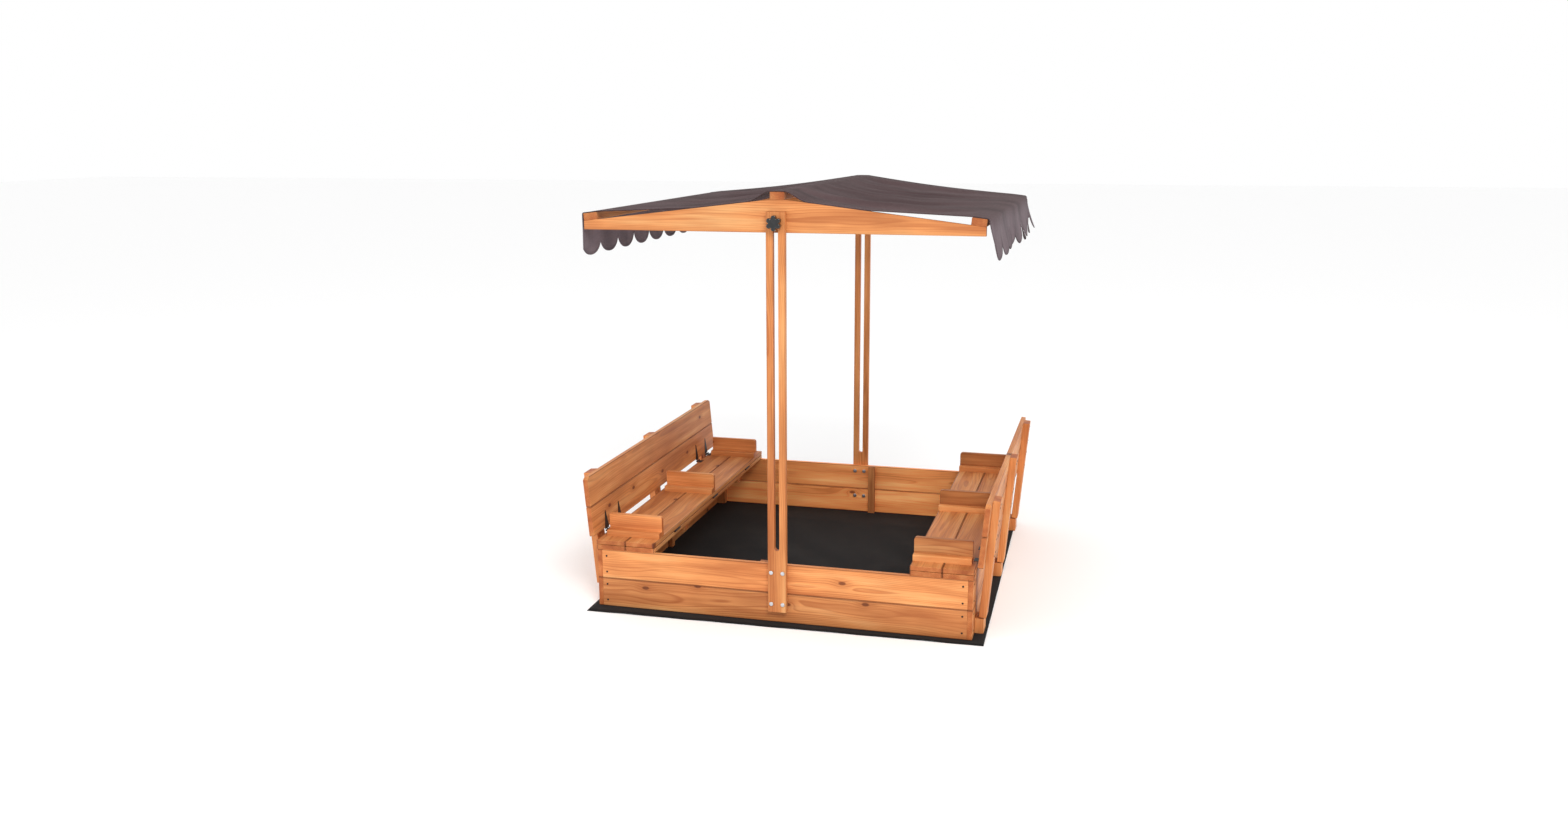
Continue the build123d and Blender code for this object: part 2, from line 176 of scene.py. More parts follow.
AXES = "XYZ"
EARLY_WOOD = linear(230, 153, 91)
LATE_WOOD = linear(170, 90, 42)
PALE_WOOD = linear(244, 184, 121)
FIBRE_WOOD = linear(150, 80, 40)
KNOT_WOOD = linear(84, 40, 22)
EDGE_WOOD = linear(92, 44, 22)
END_GRAIN = (0.72, 0.56, 0.47, 1)  # multiplies the stain where the boards' ends drink more of it
EDGE_STAIN = 0.0036  # how far stain gathers in from a board's long edges
JOINTED = ("wall", "backrest", "seat_inner", "seat_outer", "lid")  # boards whose joints show dark
RING_SPACING = 0.0042
RING_CURVE = ((0.0, 0.0), (0.55, 0.18), (0.86, 1.0), (1.0, 0.0))  # from early to late wood
RING_SWAY = 0.075  # how far slow noise moves the rings across the board
RING_DRIFT = 0.016  # and through it
PITH_SPREAD = 0.07  # the pith lies within half of this of the board's middle, across it
PITH_DEPTH = (0.022, 0.05)  # and this deep below it: the least, and how much more at most
KNOT_CELLS = (4.2, 8.5)  # cells in a metre along and across the grain, each with a knot or none
KNOT_EDGE = (0.058, 0.036)  # from outside a knot to inside it, in cells
KNOT_SWIRL = (0.26, 0.02)  # the same for the bent grain round it
KNOT_BEND = 0.007  # how far a knot bends the rings
KNOT_RINGS = 90.0  # a knot's own rings in the width of a cell
SEED_STEP = 1.93  # metres along the grain from one node's wood to the next's
PIECE_STEP = 3.7  # and from one piece to the next in the same node


def piece_places(g, node, grain, across, pitch, seed):
    """Places along the grain, across the wide face and into each piece, from its middle."""
    low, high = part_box(node)
    middle = (low + high) / 2
    place = g.put("ShaderNodeTexCoord").outputs["Object"]
    split = g.put("ShaderNodeSeparateXYZ", Vector=place)
    shift = seed * SEED_STEP
    local = {}
    for index, axis in enumerate(AXES):
        value = g.math("SUBTRACT", split.outputs[index], middle[index])
        if pitch and pitch[0] == axis:
            piece = g.math("ROUND", g.math("DIVIDE", value, pitch[1]))
            value = g.math("SUBTRACT", value, g.times(piece, pitch[1]))
            shift = g.add(g.times(piece, PIECE_STEP), shift)
        local[axis] = value
    through = next(axis for axis in AXES if axis not in (grain, across))
    return g.add(local[grain], shift), local[across], local[through]


def knot_reach(g, along, side, share):
    """Distance to the nearest knot, in cells. share is the part of the cells that has one."""
    plane = g.vector(*g.scaled((along, side), KNOT_CELLS))
    cells = g.put("ShaderNodeTexVoronoi", Vector=plane, Scale=1.0, Randomness=0.7)
    cells.voronoi_dimensions = "2D"
    chance = g.put("ShaderNodeSeparateColor", Color=cells.outputs["Color"]).outputs[0]
    present = g.math("LESS_THAN", chance, share)
    return g.add(cells.outputs["Distance"], g.math("SUBTRACT", 1.0, present))


def growth_rings(g, side, depth, slow, swirl, seed):
    """Rings round a pith beside the board, bent by slow noise and round knots. 1 is late wood."""
    sway = g.times(g.math("SUBTRACT", g.noise(slow, 1.0), 0.5), RING_SWAY)
    drift = g.times(g.math("SUBTRACT", g.noise(slow, 2.7, 1.0), 0.5), RING_DRIFT)
    pith_side = ((seed * 0.37) % 1.0 - 0.5) * PITH_SPREAD
    pith_depth = PITH_DEPTH[0] + ((seed * 0.61) % 1.0) * PITH_DEPTH[1]
    ring_side = g.add(g.add(side, sway), pith_side)
    ring_depth = g.add(g.add(depth, drift), pith_depth)
    square = g.add(g.math("POWER", ring_side, 2.0), g.math("POWER", ring_depth, 2.0))
    radius = g.add(g.math("SQRT", square), g.times(g.math("POWER", swirl, 2.0), KNOT_BEND))
    return g.ramp(g.math("FRACT", g.math("DIVIDE", radius, RING_SPACING)), RING_CURVE)


def edge_stain(g, color, node, across, side, facing):
    """Stain gathered along the long edges of the wide faces, darkest where boards meet."""
    index = AXES.index(across)
    low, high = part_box(node)
    half_width = (high - low)[index] / 2
    rim = g.remap(g.absolute(side), half_width - EDGE_STAIN, half_width - 0.3 * EDGE_STAIN)
    on_face = g.remap(g.absolute(facing.outputs[index]), 0.85, 0.45)
    stain = 0.85 if any(word in node for word in JOINTED) else 0.25
    return g.mix(g.times(g.times(rim, on_face), stain), color, EDGE_WOOD)


def stained_fir(node, grain, across, tone, knots, pitch, seed):
    """Solid wood for one node. grain and across are the axes that run along the grain and across
    the widest face; pitch is (axis, spacing) where the node holds evenly spaced pieces, so that
    each piece gets wood of its own. tone lightens or darkens the stain, and on some boards it also
    paints in light or shade."""
    g = Graph(f"fir_{node}")
    places = piece_places(g, node, grain, across, pitch, seed)
    along, side, depth = places
    facing = g.put("ShaderNodeSeparateXYZ", Vector=g.put("ShaderNodeTexCoord").outputs["Normal"])
    end_grain = g.remap(g.absolute(facing.outputs[AXES.index(grain)]), 0.55, 0.9)

    reach = knot_reach(g, along, side, knots)
    knot = g.remap(reach, *KNOT_EDGE)
    swirl = g.remap(reach, *KNOT_SWIRL)
    slow = g.vector(*g.scaled(places, (1.1, 5.0, 5.0)))
    late = growth_rings(g, side, depth, slow, swirl, seed)
    fibre = g.noise(g.vector(*g.scaled(places, (5.0, 330.0, 330.0))), 1.0, 3.0, 0.6)
    streak = g.noise(g.vector(*g.scaled(places, (2.2, 26.0, 26.0))), 1.0, 3.0, 0.55)
    blotch = g.noise(g.vector(*places), 3.5, 3.0, 0.6)

    strength = g.remap(g.noise(slow, 0.8, 1.0), 0.3, 0.75, 0.22, 0.85)
    color = g.mix(g.times(late, strength), EARLY_WOOD, LATE_WOOD)
    color = g.mix(g.remap(streak, 0.46, 0.72, 0.0, 0.75), color, LATE_WOOD)
    color = g.mix(g.remap(streak, 0.47, 0.28, 0.0, 0.75), color, PALE_WOOD)
    color = g.mix(g.remap(fibre, 0.35, 0.75, 0.0, 0.28), color, FIBRE_WOOD)
    color = g.mix(g.remap(swirl, 0.35, 0.95, 0.0, 0.45), color, LATE_WOOD)
    knot_ring = g.math("FRACT", g.times(reach, KNOT_RINGS))
    knot_color = g.mix(g.remap(knot_ring, 0.2, 0.9, 0.0, 0.5), KNOT_WOOD, LATE_WOOD)
    color = g.mix(g.times(knot, 0.85), color, knot_color)
    if not (pitch and pitch[0] == across):
        color = edge_stain(g, color, node, across, side, facing)
    color = g.mix(end_grain, color, g.mix(1.0, color, END_GRAIN, "MULTIPLY"))
    color = g.shaded(color, g.remap(blotch, 0.25, 0.8, 0.82 * tone, 1.15 * tone))

    g.surface({
        "Base Color": color,
        "Roughness": g.remap(g.add(fibre, g.times(late, -0.35)), 0.1, 0.9, 0.46, 0.66),
        "Specular IOR Level": 0.28,
        "Coat Weight": 0.02,
        "Coat Roughness": 0.35,
    })
    height = g.add(g.times(fibre, 0.6), g.times(late, 0.35))
    g.bump(g.math("SUBTRACT", height, g.times(knot, 0.5)), 0.35, 0.0006)
    return g.material


# --- metal and plastic ---------------------------------------------------------------------------


def zinc():
    """Zinc-plated steel: bright, with fine mottling and dull patches."""
    g = Graph("zinc_plate")
    mottle = g.object_noise(900.0)
    patch = g.object_noise(120.0)
    color = g.mix(g.remap(mottle, 0.35, 0.7), linear(226, 228, 232), linear(176, 180, 188))
    color = g.mix(g.remap(patch, 0.55, 0.8, 0.0, 0.5), color, linear(150, 146, 138))
    rough = g.remap(mottle, 0.2, 0.8, 0.22, 0.42)
    g.surface({"Base Color": color, "Metallic": 1.0, "Roughness": rough})
    g.bump(mottle, 0.15, 0.0002)
    return g.material


def black_steel():
    """Black painted hinge steel, with worn brown patches."""
    g = Graph("black_hinge_steel")
    wear = g.object_noise(160.0, 4.0, 0.65)
    grit = g.object_noise(1500.0)
    color = g.mix(g.remap(wear, 0.6, 0.78), linear(24, 18, 17), linear(72, 48, 38))
    rough = g.remap(grit, 0.3, 0.7, 0.38, 0.58)
    g.surface({"Base Color": color, "Metallic": 0.35, "Roughness": rough})
    g.bump(grit, 0.2, 0.0002)
    return g.material


def black_plastic():
    """Moulded black plastic with a fine spark-eroded grain and rubbed highlights."""
    g = Graph("black_moulded_plastic")
    grain = g.object_noise(1800.0, 2.0)
    rub = g.object_noise(90.0)
    color = g.mix(g.remap(rub, 0.45, 0.75), linear(10, 10, 12), linear(26, 26, 30))
    rough = g.remap(rub, 0.3, 0.7, 0.14, 0.30)
    g.surface({"Base Color": color, "Roughness": rough, "Coat Weight": 0.4, "Coat Roughness": 0.08})
    g.bump(grain, 0.12, 0.0002)
    return g.material


# --- cloth ---------------------------------------------------------------------------------------

WARP = linear(82, 64, 65)
WEFT = linear(64, 49, 51)
# painted light: the lighter colour the valances are mixed towards, standing in for light on their
# shaded faces
PAINTED_LIGHT_COLOR = linear(120, 108, 114)
THREAD = 0.0013
STITCH = 0.009
# painted shade: the hems are darkened to stand in for the dark shadow line along the cloth's edges
HEM_PAINTED_SHADE = 0.80
STITCH_SHADE = 1.35
EMBOSS = 0.004


def flat_places(g):
    """Metres along and across the flat cloth."""
    uv = g.put("ShaderNodeSeparateXYZ", Vector=g.put("ShaderNodeUVMap").outputs[0])
    return uv.outputs[0], uv.outputs[1]


def slubs(g, places, scales, layer):
    """Thick and thin stretches of thread."""
    return g.noise(g.vector(*g.scaled(places, scales), layer), 1.0)


def canopy_weave():
    """Plain weave. The mesh's hem attribute is 1 on the hems, which are also darkened as painted
    shade, and its second attribute is 1 on the valances, which are painted lighter as painted light on
    their shaded faces."""
    g = Graph("canopy_weave")
    places = flat_places(g)
    weave = g.remap(g.times(*[g.wave(place, THREAD) for place in places]), -1.0, 1.0)
    slub = slubs(g, places, (40.0, 900.0), 0.0)
    cross_slub = slubs(g, places, (900.0, 40.0), 1.0)
    cloud = g.noise(g.vector(*places), 6.0, 4.0, 0.6)
    # painted shade: soft bands that darken and lighten the cloth, standing in for the shading of its
    # folds
    painted_fold_shade = g.noise(g.vector(*g.scaled(places, (9.0, 1.2)), 3.0), 1.0, 3.0, 0.5)

    hem = g.attribute("hem")
    stitch = g.math("GREATER_THAN", g.wave(g.add(*places), STITCH), 0.2)
    seam = g.times(g.remap(hem, 0.02, 0.2), g.remap(hem, 0.45, 0.2))
    shade = g.remap(g.add(slub, cross_slub), 0.7, 1.3, 0.82, 1.16)
    shade = g.times(shade, g.remap(cloud, 0.3, 0.7, 0.93, 1.07))
    shade = g.times(shade, g.remap(painted_fold_shade, 0.32, 0.68, 0.74, 1.24))
    # painted shade along the hems
    shade = g.times(shade, g.remap(hem, 0.0, 1.0, 1.0, HEM_PAINTED_SHADE))
    shade = g.times(shade, g.remap(g.times(stitch, seam), 0.0, 1.0, 1.0, STITCH_SHADE))

    # painted light: the valances are mixed towards a lighter colour
    color = g.mix(g.attribute("painted_light"), g.mix(weave, WARP, WEFT), PAINTED_LIGHT_COLOR)
    g.surface({
        "Base Color": g.shaded(color, shade),
        "Roughness": 0.85,
        "Sheen Weight": 0.02,
        "Sheen Roughness": 0.5,
        "Specular IOR Level": 0.12,
    })
    height = g.add(g.times(weave, 0.5), g.times(slub, 0.5))
    g.bump(g.add(height, g.times(hem, 1.5)), 0.4, 0.0004)
    return g.material


def needled_liner():
    """Black weed-proof liner: needled felt with a faint square emboss, dusty in patches."""
    g = Graph("needled_liner")
    places = flat_places(g)
    felt = g.noise(g.vector(*places), 700.0, 4.0, 0.7)
    dust = g.noise(g.vector(*places), 7.0, 5.0, 0.65)
    emboss = g.remap(g.times(*[g.wave(place, EMBOSS) for place in places]), -1.0, 1.0)
    color = g.mix(felt, linear(10, 9, 10), linear(28, 26, 26))
    color = g.mix(g.remap(dust, 0.5, 0.8, 0.0, 0.2), color, linear(66, 58, 52))
    g.surface({
        "Base Color": color,
        "Roughness": 0.9,
        "Specular IOR Level": 0.2,
        "Sheen Weight": 0.04,
    })
    g.bump(g.add(g.times(emboss, 0.5), felt), 0.5, 0.0005)
    return g.material


# --- materials of the CAD nodes ------------------------------------------------------------------

DIVIDER_PITCH = ("Y", 0.528)
BATTEN_PITCH = ("Y", 0.525)

# node, grain axis, axis across the wide face, tone of the stain and of painted light or shade, share
# of knots
BOARDS = (
    ("front_wall_lower_board", "X", "Z", 0.82, 0.45),
    ("front_wall_upper_board", "X", "Z", 1.04, 0.25),
    # the back wall's boards are made much lighter than the front wall's: painted light on their shaded
    # inner faces
    ("back_wall_lower_board", "X", "Z", 1.80, 0.40),
    ("back_wall_upper_board", "X", "Z", 1.62, 0.40),
    ("front_post", "Z", "X", 0.86, 0.12),
    ("back_post", "Z", "X", 1.12, 0.12),
    ("front_gable", "X", "Z", 0.84, 0.20),
    ("back_gable", "X", "Z", 0.95, 0.25),
    ("ridge_rail", "Y", "X", 0.82, 0.15),
    ("corner_posts", "Z", "X", 0.86, 0.10),
    ("wall_cleats", "Z", "X", 0.84, 0.10),
    ("lid_cleats", "X", "Y", 0.88, 0.10),
)
# the same for the pieces that each side has, with the spacing of the pieces in one node
SIDE_BOARDS = (
    ("wall_lower_board", "Y", "Z", 0.90, 0.30, None),
    ("wall_upper_board", "Y", "Z", 0.98, 0.30, None),
    ("lid_inner_board", "Y", "X", 0.86, 0.25, None),
    ("lid_outer_board", "Y", "X", 0.82, 0.25, None),
    ("seat_inner_board", "Y", "X", 0.88, 0.35, None),
    ("seat_outer_board", "Y", "X", 0.86, 0.35, None),
    ("seat_dividers", "X", "Z", 0.80, 0.20, DIVIDER_PITCH),
    ("divider_cleats", "X", "Y", 1.00, 0.10, DIVIDER_PITCH),
    ("backrest_lower_board", "Y", "Z", 0.88, 0.55, None),
    ("backrest_upper_board", "Y", "Z", 0.90, 0.50, None),
    ("backrest_battens", "Z", "Y", 1.00, 0.15, BATTEN_PITCH),
    ("foot_blocks", "Z", "Y", 0.96, 0.10, BATTEN_PITCH),
    ("eave_rail", "Y", "X", 0.80, 0.15, None),
)
FIRST_SEED = {"left": 21.0, "right": 38.0}  # each board's wood has a seed of its own
TONE_SHIFT = {"left_seat_dividers": 1.36, "right_seat_dividers": 0.82}  # left dividers made lighter and right ones darker
DARK_SCREWS = ("wall_screws", "left_backrest_screws", "right_backrest_screws")


def dress(node, material):
    """Give a CAD node its material."""
    mesh = nodes[node].data
    mesh.materials.clear()
    mesh.materials.append(material)


def dress_boards():
    for number, (node, grain, across, tone, knots) in enumerate(BOARDS):
        dress(node, stained_fir(node, grain, across, tone, knots, None, number + 1.0))
    for side, first_seed in FIRST_SEED.items():
        for number, (name, grain, across, tone, knots, pitch) in enumerate(SIDE_BOARDS):
            node = f"{side}_{name}"
            own_tone = tone * TONE_SHIFT.get(node, 1.0)
            seed = first_seed + number
            dress(node, stained_fir(node, grain, across, own_tone, knots, pitch, seed))


def dress_hardware():
    hinge_steel = black_steel()
    finishes = {"zinc_steel": zinc(), "black_steel": hinge_steel, "black_plastic": black_plastic()}
    for part in frame["record"]["subparts"]:
        node, slot = part["node"], part["material_slot"]
        if node in DARK_SCREWS:
            dress(node, hinge_steel)
        elif slot in finishes:
            dress(node, finishes[slot])


dress_boards()
dress_hardware()


# --- sheets from grids of points -----------------------------------------------------------------


def grid_mesh(name, points, uvs, hem, painted_light, thickness, single_layer=1.0):
    """A sheet from a grid of points, rows by columns. It is thickness at the hems, and
    single_layer of that elsewhere."""
    rows, columns = points.shape[:2]
    index = np.arange(rows * columns).reshape(rows, columns)
    corners = (index[:-1, :-1], index[:-1, 1:], index[1:, 1:], index[1:, :-1])
    quads = np.stack([corner.ravel() for corner in corners], 1).tolist()
    mesh = bpy.data.meshes.new(name)
    mesh.from_pydata(points.reshape(-1, 3).tolist(), [], quads)
    layer = mesh.uv_layers.new(name="flat")
    flat = uvs.reshape(-1, 2)
    for loop in mesh.loops:
        layer.data[loop.index].uv = flat[loop.vertex_index]
    for key, values in (("hem", hem), ("painted_light", painted_light)):
        attribute = mesh.attributes.new(key, "FLOAT", "POINT")
        attribute.data.foreach_set("value", values.reshape(-1).astype(np.float32))
    for polygon in mesh.polygons:
        polygon.use_smooth = True
    piece = bpy.data.objects.new(name, mesh)
    bpy.context.scene.collection.objects.link(piece)
    thicken(piece, hem, thickness, single_layer)
    return piece


def thicken(piece, hem, thickness, single_layer):
    solid = piece.modifiers.new("thickness", "SOLIDIFY")
    solid.thickness = thickness
    solid.offset = 0.0
    if single_layer < 1.0:
        group = piece.vertex_groups.new(name="doubled")
        for number, weight in enumerate(hem.reshape(-1).tolist()):
            if weight > 0:
                group.add([number], weight, "REPLACE")
        solid.vertex_group = group.name
        solid.thickness_vertex_group = single_layer


def smooth(value, low, high):
    """0 below low, 1 above high, and an even curve between."""
    t = np.clip((value - low) / (high - low), 0, 1)
    return t * t * (3 - 2 * t)


# --- canopy cloth ----------------------------------------------------------------------------------

COLUMN_STEP = 0.0048
SLOPE_ROWS = 44
EAVE_STEPS = (0.0, 0.35, 0.7, 1.0)  # rows over the eave rail, from its inner edge to its outer
TURN_ROWS = 6
VALANCE_ROWS = 20
RAIL_WIDTH = 0.043
RAIL_HEIGHT = 0.022
CLOTH_LIFT = 0.0015  # from a rail to the middle of the cloth
CROWN_LIFT = 0.0004
CLOTH_THICKNESS = 0.0024  # of the folded hems
SINGLE_LAYER = 0.4  # of that, away from the hems
HEM_WIDTH = 0.011
GABLE_REST = 0.0222  # from the chord of the slope down to the front gable's top edge
GABLE_REACH = 0.13  # share of the slope from the ridge down to where the edge rests fully
GABLE_LEAVE = 0.56  # and the share above the eave over which it rises off the gable again
BACK_REST = 0.0060  # how far the back edge sags
END_GRIP = (0.018, 0.16)  # from an end: held up to here, and hanging free from here
SAG = {-1: 0.024, 1: 0.025}
RIPPLE = 0.0012
FOLDS = (  # height, spacing, phase, turn of phase by side, slant
    (0.0058, 0.233, 0.0, 0.8, 0.0),
    (0.0034, 0.131, 1.9, 0.0, 0.0),
    (0.0012, 0.071, 0.0, 0.4, 0.1),
)
EAVE_INSET = 0.002  # from the eave rail's outer edge to where the cloth starts to turn down
EAVE_ROUND = {-1: 0.001, 1: 0.014}  # how far the cloth swings out as it turns over the eave
LEAST_ROUND = 0.0035  # the tightest turn's radius outwards
LEAST_TURN = 0.006  # and downwards
TAB_PITCH = 0.14  # from notch to notch along the valances
FIRST_NOTCH = {-1: -0.480, 1: -0.585}
VALANCE_DROP = {-1: 0.128, 1: 0.110}
NOTCH_DEPTH = {-1: 0.050, 1: 0.066}
TAB_ROUND = {-1: 2.2, 1: 1.7}  # a larger power makes squarer tabs
FLARE = {-1: -0.002, 1: 0.023}  # outwards at the hem
LIVELY = {-1: 0.16, 1: 1.0}  # how unevenly the valance hangs
VALANCE_WAVES = ((0.005, 0.33, 1), (0.003, 0.15, 2))  # height, spacing, turn of phase by side
TAB_CURL = 0.008
TAB_TWIST = 0.016
TAB_SWING = 0.006  # along the eave
TUCK = 0.003  # how far a tab may hang inwards at its hem
TAB_SEED = {-1: 5, 1: 11}
MOST_TABS = 16
PAINTED_LIGHT_SHARE = {-1: 0.95, 1: 0.55}  # how far each valance is painted lighter: painted light on its shaded face, most on the left


def canopy_columns():
    """Places of the cloth's columns, and half its length."""
    half_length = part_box("ridge_rail")[1].y
    count = int(2 * half_length / COLUMN_STEP) + 1
    return np.linspace(-half_length, half_length, count), half_length


def row(x, z, side, y):
    return np.stack([side * (x + 0 * y), y, z + 0 * y], 1)


def scallops(y, side):
    """Where each place along an eave lies in its tab, from -1 to 1, and the number of its tab."""
    along = (y - FIRST_NOTCH[side]) / TAB_PITCH
    number = np.floor(along)
    return 2 * (along - number) - 1, number.astype(int) % MOST_TABS


def slope_stand(side, t, y, half_length):
    """How far the slack cloth stands off its chord at t, from 0 at the ridge to 1 at the eave."""
    at_gable = 1 - smooth(half_length - np.abs(y), *END_GRIP)
    rest = -GABLE_REST * np.minimum(smooth(t, 0.0, GABLE_REACH), np.clip((1 - t) / GABLE_LEAVE, 0, 1))
    edge = np.where(y < 0, rest, -BACK_REST * np.sin(pi * t))
    hold = np.sin(pi * t**0.8) ** 0.9
    along = y + 0.02 * np.sin(5.1 * t + 0.7 * side) + 0.012 * np.sin(11 * t)
    folds = 0.0
    for height, spacing, phase, turn, slant in FOLDS:
        folds += height * np.sin(2 * pi * (along - slant * t) / spacing + phase + turn * side)
    slack = SAG[side] * (1 - 0.30 * smooth(y, 0.0, half_length))
    free = -hold * (slack + folds)
    ripple = hold * RIPPLE * (1 - at_gable) * np.sin(2 * pi * (t * 3.1 + y * 1.3))
    return at_gable * edge + (1 - at_gable) * free + ripple


def canopy_section():
    """The right half section, in X and Z: the ridge rail's edge, and the eave rail's two edges."""
    half_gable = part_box("front_gable")[1].x
    ridge_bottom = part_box("ridge_rail")[0].z
    eave_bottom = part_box("right_eave_rail")[0].z
    pitch = atan2(ridge_bottom - eave_bottom, half_gable - RAIL_WIDTH / 2)
    level = RAIL_HEIGHT + CLOTH_LIFT
    up = np.array([-cos(pitch), sin(pitch)])
    above_rail = np.array([half_gable, eave_bottom]) + np.array([sin(pitch), cos(pitch)]) * level
    ridge_edge = np.array([RAIL_WIDTH / 2, ridge_bottom + level])
    return ridge_edge, above_rail + up * RAIL_WIDTH, above_rail + up * EAVE_INSET


def slope_rows(side, y, half_length):
    """Rows from the ridge's edge to the outer edge of the eave rail."""
    ridge_edge, eave_inner, eave_outer = canopy_section()
    chord = eave_inner - ridge_edge
    normal = np.array([-chord[1], chord[0]]) / np.hypot(*chord)
    rows = [row(*ridge_edge, side, y)]
    for t in np.linspace(0, 1, SLOPE_ROWS + 1)[1:-1]:
        stand = slope_stand(side, t, y, half_length)
        x = ridge_edge[0] + chord[0] * t + normal[0] * stand
        z = ridge_edge[1] + chord[1] * t + normal[1] * stand
        rows.append(row(x, z, side, y))
    for t in EAVE_STEPS:
        rows.append(row(*(eave_inner + (eave_outer - eave_inner) * t), side, y))
    return rows


def turn_rows(side, y, half_length):
    """Rows that turn down over the eave, further out where the cloth is loose."""
    eave_outer = canopy_section()[2]
    loose = 0.45 + 0.55 * smooth(np.abs(np.sin(2.9 * y + 0.6)), 0, 0.8)
    free = 0.35 + 0.65 * smooth(half_length - np.abs(y), 0.0, 0.08)
    radius = EAVE_ROUND[side] * loose * free + LEAST_ROUND
    rows = []
    for angle in np.linspace(0, pi / 2, TURN_ROWS + 1)[1:]:
        x = eave_outer[0] + radius * sin(angle)
        z = eave_outer[1] - np.maximum(radius, LEAST_TURN) * (1 - cos(angle)) * 0.9
        rows.append(row(x, z, side, y))
    return rows


def valance_rows(side, y, half_length, top):
    """Rows from the eave down to the scalloped hem, each tab with a curl and a twist of its own."""
    spot, tab = scallops(y, side)
    drop, notch, lively = VALANCE_DROP[side], NOTCH_DEPTH[side], LIVELY[side]
    length = drop - notch + notch * (1 - np.abs(spot) ** TAB_ROUND[side]) ** 0.5
    curls, twists = np.random.default_rng(TAB_SEED[side]).uniform(-1, 1, (2, MOST_TABS))
    curl, twist = curls[tab], twists[tab]
    wave = 0.0
    for height, spacing, turn in VALANCE_WAVES:
        wave += height * np.sin(2 * pi * y / spacing + turn * side)
    inside = smooth(half_length - np.abs(y), 0.0, 0.05)
    rows = []
    for v in np.linspace(0, 1, VALANCE_ROWS + 1)[1:]:
        fall = length * v
        depth = fall / drop
        out = FLARE[side] * depth**1.3 + lively * wave * depth
        out = out + lively * depth**2 * (TAB_CURL * curl + TAB_TWIST * twist * spot)
        out = np.maximum(out, -TUCK * depth)
        points = row(top[:, 0] * side + out, top[:, 2] - fall * 0.97, side, y)
        points[:, 1] += lively * TAB_SWING * depth**2 * curl * inside
        rows.append(points)
    return rows


def side_rows(side, y, half_length):
    """Rows from the ridge's edge down to the hem on one side."""
    rows = slope_rows(side, y, half_length) + turn_rows(side, y, half_length)
    return rows + valance_rows(side, y, half_length, rows[-1])


def canopy_cloth():
    """One sheet over the ridge and both eaves, from hem to hem, with a scalloped valance each
    side. Returns the piece, its width over the ridge and its length."""
    y, half_length = canopy_columns()
    left, right = side_rows(-1, y, half_length), side_rows(1, y, half_length)
    crown = row(0.0, canopy_section()[0][1] + CROWN_LIFT, 1, y)
    points = np.array(left[::-1] + [crown] + right)
    middle = len(left)
    step = np.linalg.norm(np.diff(points, axis=0), axis=2)
    over = np.concatenate([np.zeros((1, len(y))), np.cumsum(step, axis=0)])
    over = over - over[middle]
    uvs = np.stack([np.broadcast_to(y, over.shape), over], 2)

    to_hem = np.minimum(over - over[0], over[-1] - over)
    to_end = np.broadcast_to(half_length - np.abs(y), over.shape)
    hem = 1 - smooth(np.minimum(to_hem, to_end), 0.6 * HEM_WIDTH, HEM_WIDTH)
    eave_row = middle - TURN_ROWS - VALANCE_ROWS
    place = np.arange(len(points))[:, None] - middle + 0 * y
    # painted light on the valances, strongest on the left one, whose face towards the middle is in
    # shade
    light_share = np.where(place < 0, PAINTED_LIGHT_SHARE[-1], PAINTED_LIGHT_SHARE[1])
    painted_light = smooth(np.abs(place), eave_row - 3, eave_row + 14) * light_share
    cloth = grid_mesh("canopy_cloth", points, uvs, hem, painted_light, CLOTH_THICKNESS, SINGLE_LAYER)
    return cloth, over[-1].max() - over[0].min(), 2 * half_length


cloth, cloth_width, cloth_length = canopy_cloth()
cloth.data.materials.append(canopy_weave())
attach(cloth, "canopy")
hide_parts("canopy_fabric")


# --- ground liner ----------------------------------------------------------------------------------

LINER_CELL = 0.012
LINER_THICKNESS = 0.0010
LINER_LIFT = 0.0001  # off the floor
CORNER_POST_REACH = 0.050  # from the outside of the box to the inside of its corner posts
WALL_CLEAR = 0.012  # the liner lies flat this close to what stands on it
PUCKER = 0.0030
CREASE = 0.0012
EDGE_WAVE = 0.0011
SHEAR = 0.010  # it lies askew: its front edge this far to the right, its back edge to the left
EXTRA_FRONT = (0.030, 0.004)  # how much further it reaches out in front, at its left and right


def liner_lift(x, y, half_width, half_depth):
    """How far the liner's puckers lift it, in the pit and along its free edges."""
    pit = np.minimum(half_width - np.abs(x), half_depth - np.abs(y)) - CORNER_POST_REACH
    margin = np.maximum(np.abs(x) - half_width, np.abs(y) - half_depth)
    pit_room = np.clip((pit - WALL_CLEAR) / 0.12, 0, 1)
    edge_room = np.clip((margin - 0.004) / 0.022, 0, 1)
    pucker = np.sin(9.0 * x + 4.0 * np.sin(5.0 * y)) * np.sin(7.0 * y + 3.0 * np.sin(4.0 * x))
    crease = np.sin(31.0 * (x + 0.6 * y) + 2.0 * np.sin(6.0 * y))
    wave = np.sin(21.0 * (x + y)) + 0.6 * np.sin(47.0 * (x - y) + 1.0)
    in_pit = pit_room * (PUCKER * (pucker + 1) + CREASE * (crease + 1))
    return in_pit + edge_room * EDGE_WAVE * (wave + 1.6)


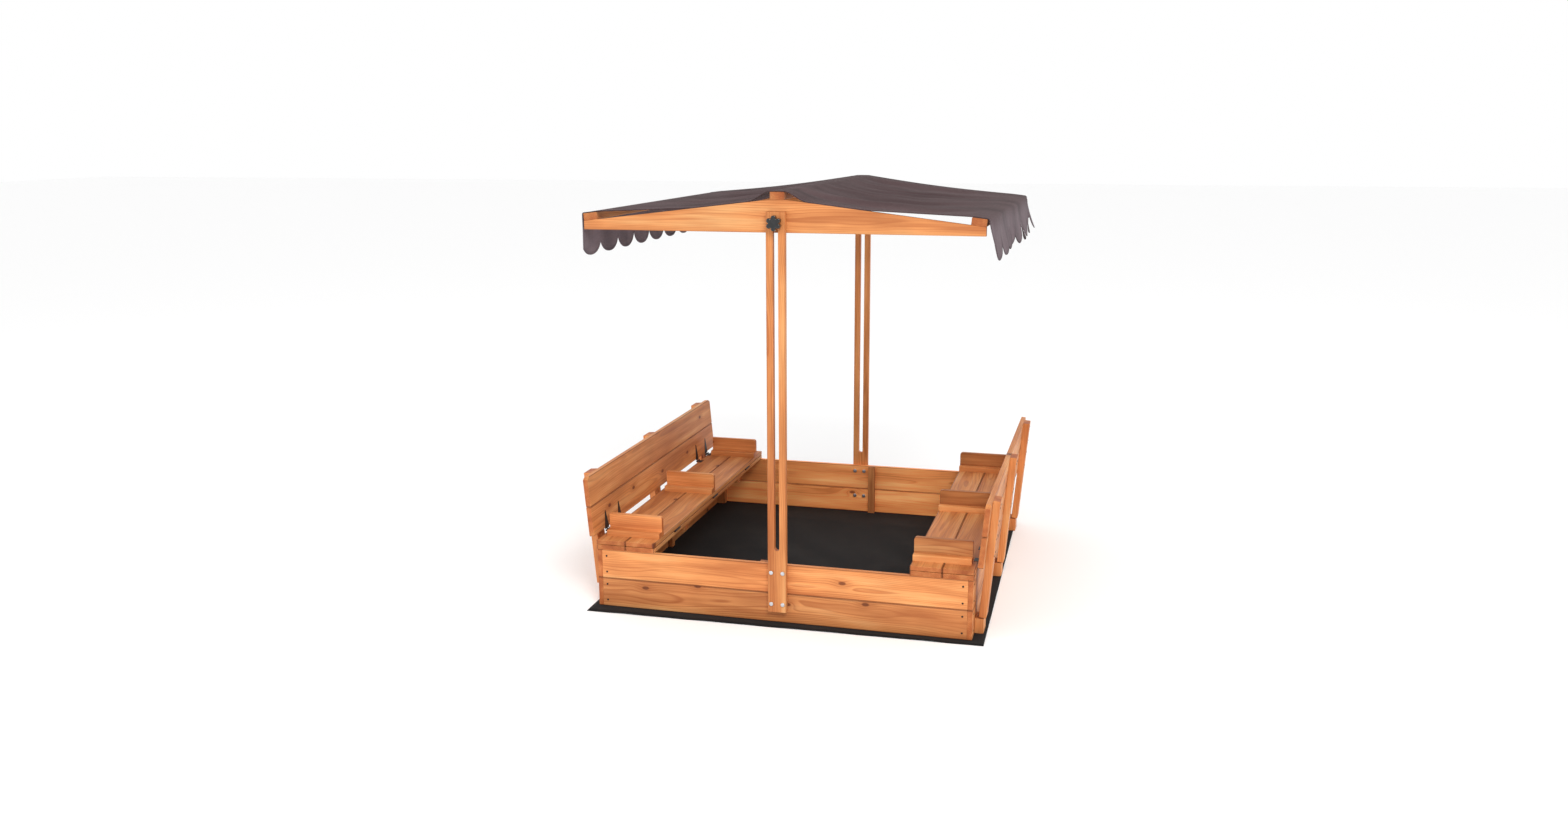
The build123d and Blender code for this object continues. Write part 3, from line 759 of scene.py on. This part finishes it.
def ground_liner():
    """The liner, flat under the walls. Returns the piece, its flat size and its area."""
    low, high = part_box("ground_liner")
    walls_low, walls_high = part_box("left_wall_lower_board")[0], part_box("right_wall_lower_board")[1]
    columns = np.linspace(low.x, high.x, int((high.x - low.x) / LINER_CELL) + 1)
    rows = np.linspace(low.y, high.y, int((high.y - low.y) / LINER_CELL) + 1)
    x, y = np.meshgrid(columns, rows, indexing="ij")
    z = low.z + LINER_THICKNESS / 2 + LINER_LIFT + liner_lift(x, y, walls_high.x, walls_high.y)
    extra = np.interp(x, (low.x, high.x), EXTRA_FRONT)
    y = y - extra * np.clip((walls_low.y - y) / (walls_low.y - low.y), 0, 1)
    x = x - SHEAR * y / high.y
    none = np.zeros(x.shape)
    points, uvs = np.stack([x, y, z], 2), np.stack([x, y], 2)
    piece = grid_mesh("ground_liner_sheet", points, uvs, none, none, LINER_THICKNESS)
    width, length = high.x - low.x, high.y - low.y + max(EXTRA_FRONT)
    return piece, (width, length), width * (length - (max(EXTRA_FRONT) - min(EXTRA_FRONT)) / 2)


liner, liner_size, liner_area = ground_liner()
liner.data.materials.append(needled_liner())
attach(liner, "frame")
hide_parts("ground_liner")


# --- floor, light and camera -------------------------------------------------------------------------

FLOOR_HALF = 30.0
AIM = (0, 0, 0.5)


def floor_plane():
    """A plain pale floor."""
    half = FLOOR_HALF
    corners = [(-half, -half, 0), (half, -half, 0), (half, half, 0), (-half, half, 0)]
    mesh = bpy.data.meshes.new("floor")
    mesh.from_pydata(corners, [], [(0, 1, 2, 3)])
    plane = bpy.data.objects.new("floor", mesh)
    bpy.context.scene.collection.objects.link(plane)
    g = Graph("pale_floor")
    g.surface({"Base Color": (0.97, 0.97, 0.97, 1), "Roughness": 0.9})
    mesh.materials.append(g.material)


def studio_world():
    """Even white light from all round."""
    world = bpy.data.worlds.new("studio")
    bpy.context.scene.world = world
    world.use_nodes = True
    background = world.node_tree.nodes["Background"]
    background.inputs["Color"].default_value = (1.0, 1.0, 1.0, 1)
    background.inputs["Strength"].default_value = 1.0


def area_light(name, place, size, power, color=(1, 1, 1)):
    """A square light that faces the middle of the object."""
    light = bpy.data.lights.new(name, "AREA")
    light.size = size
    light.energy = power
    light.color = color
    lamp = bpy.data.objects.new(name, light)
    bpy.context.scene.collection.objects.link(lamp)
    lamp.location = place
    aim = np.array(AIM) - np.array(place)
    yaw = atan2(aim[1], aim[0]) - pi / 2
    tilt = atan2(aim[2], np.hypot(aim[0], aim[1]))
    lamp.rotation_euler = (pi / 2 + tilt, 0, yaw)


def place_camera():
    data = bpy.data.cameras.new("camera")
    data.lens = 29.69
    data.sensor_width = 36.0
    camera = bpy.data.objects.new("camera", data)
    bpy.context.scene.collection.objects.link(camera)
    camera.location = (0.9855, -4.2044, 1.4849)
    camera.rotation_euler = (radians(77.275), radians(0.196), radians(15.007))
    bpy.context.scene.camera = camera


floor_plane()
studio_world()
area_light("key", (2.0, -4.2, 4.4), 1.8, 150.0, (1.0, 0.98, 0.95))
area_light("fill", (-4.0, -3.0, 2.0), 3.0, 40.0)
bpy.context.scene.view_settings.view_transform = "Standard"
place_camera()

bpy.context.view_layer.update()
